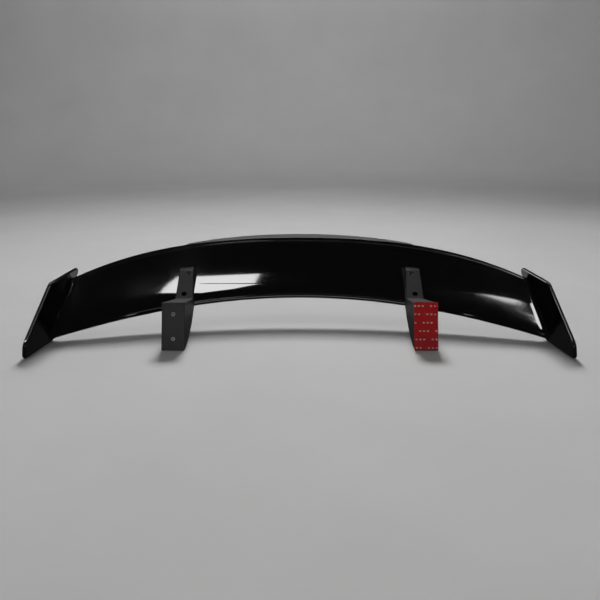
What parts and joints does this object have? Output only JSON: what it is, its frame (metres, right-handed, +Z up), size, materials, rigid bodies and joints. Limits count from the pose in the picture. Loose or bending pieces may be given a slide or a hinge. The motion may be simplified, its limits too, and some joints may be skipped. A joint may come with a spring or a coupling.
{
  "type": "racing rear wing",
  "caption": "Gloss black arched rear wing with canted endplates, a raised trailing lip and two matte legs whose feet fasten to a boot lid.",
  "frame": {"origin": "centre of the bounding box at floor level, the wing standing on its leading side: the toes of both feet and the front edges of both endplates touch Z = 0", "axes": "+X along the span to the wing's right hand end as seen from below, +Y away from the feet and the underside, +Z up towards the trailing edge"},
  "size_m": [1.296, 0.4636, 0.2209],
  "materials": {
    "gloss_black": "mirror-gloss black paint over moulded ABS, slight orange peel",
    "leg_plastic": "fine-textured matte dark grey moulded plastic",
    "core_plastic": "unpainted moulded plastic, hidden inside the blade",
    "black_steel": "black oxide steel",
    "zinc_steel": "zinc-plated steel",
    "gasket_rubber": "dull black sheet rubber",
    "foam_tape": "dark closed-cell foam tape",
    "red_liner": "red film release liner with plain white dots"
  },
  "bodies": {
    "root": {"blade_upper_skin": "gloss_black", "blade_lower_skin": "gloss_black", "trailing_lip": "gloss_black", "left_endplate": "gloss_black", "right_endplate": "gloss_black", "left_end_rib": "core_plastic", "right_end_rib": "core_plastic", "left_endplate_screws": "black_steel", "right_endplate_screws": "black_steel", "left_leg": "leg_plastic", "right_leg": "leg_plastic", "left_foot_inserts": "zinc_steel", "right_foot_inserts": "zinc_steel", "left_leg_screws": "black_steel", "right_leg_screws": "black_steel", "left_leg_washers": "zinc_steel", "right_leg_washers": "zinc_steel", "left_leg_gasket": "gasket_rubber", "right_leg_gasket": "gasket_rubber", "left_mount_block": "core_plastic", "right_mount_block": "core_plastic", "left_blade_inserts": "zinc_steel", "right_blade_inserts": "zinc_steel", "right_foot_tape": "foam_tape", "right_tape_liner": "red_liner"}
  },
  "joints": []
}
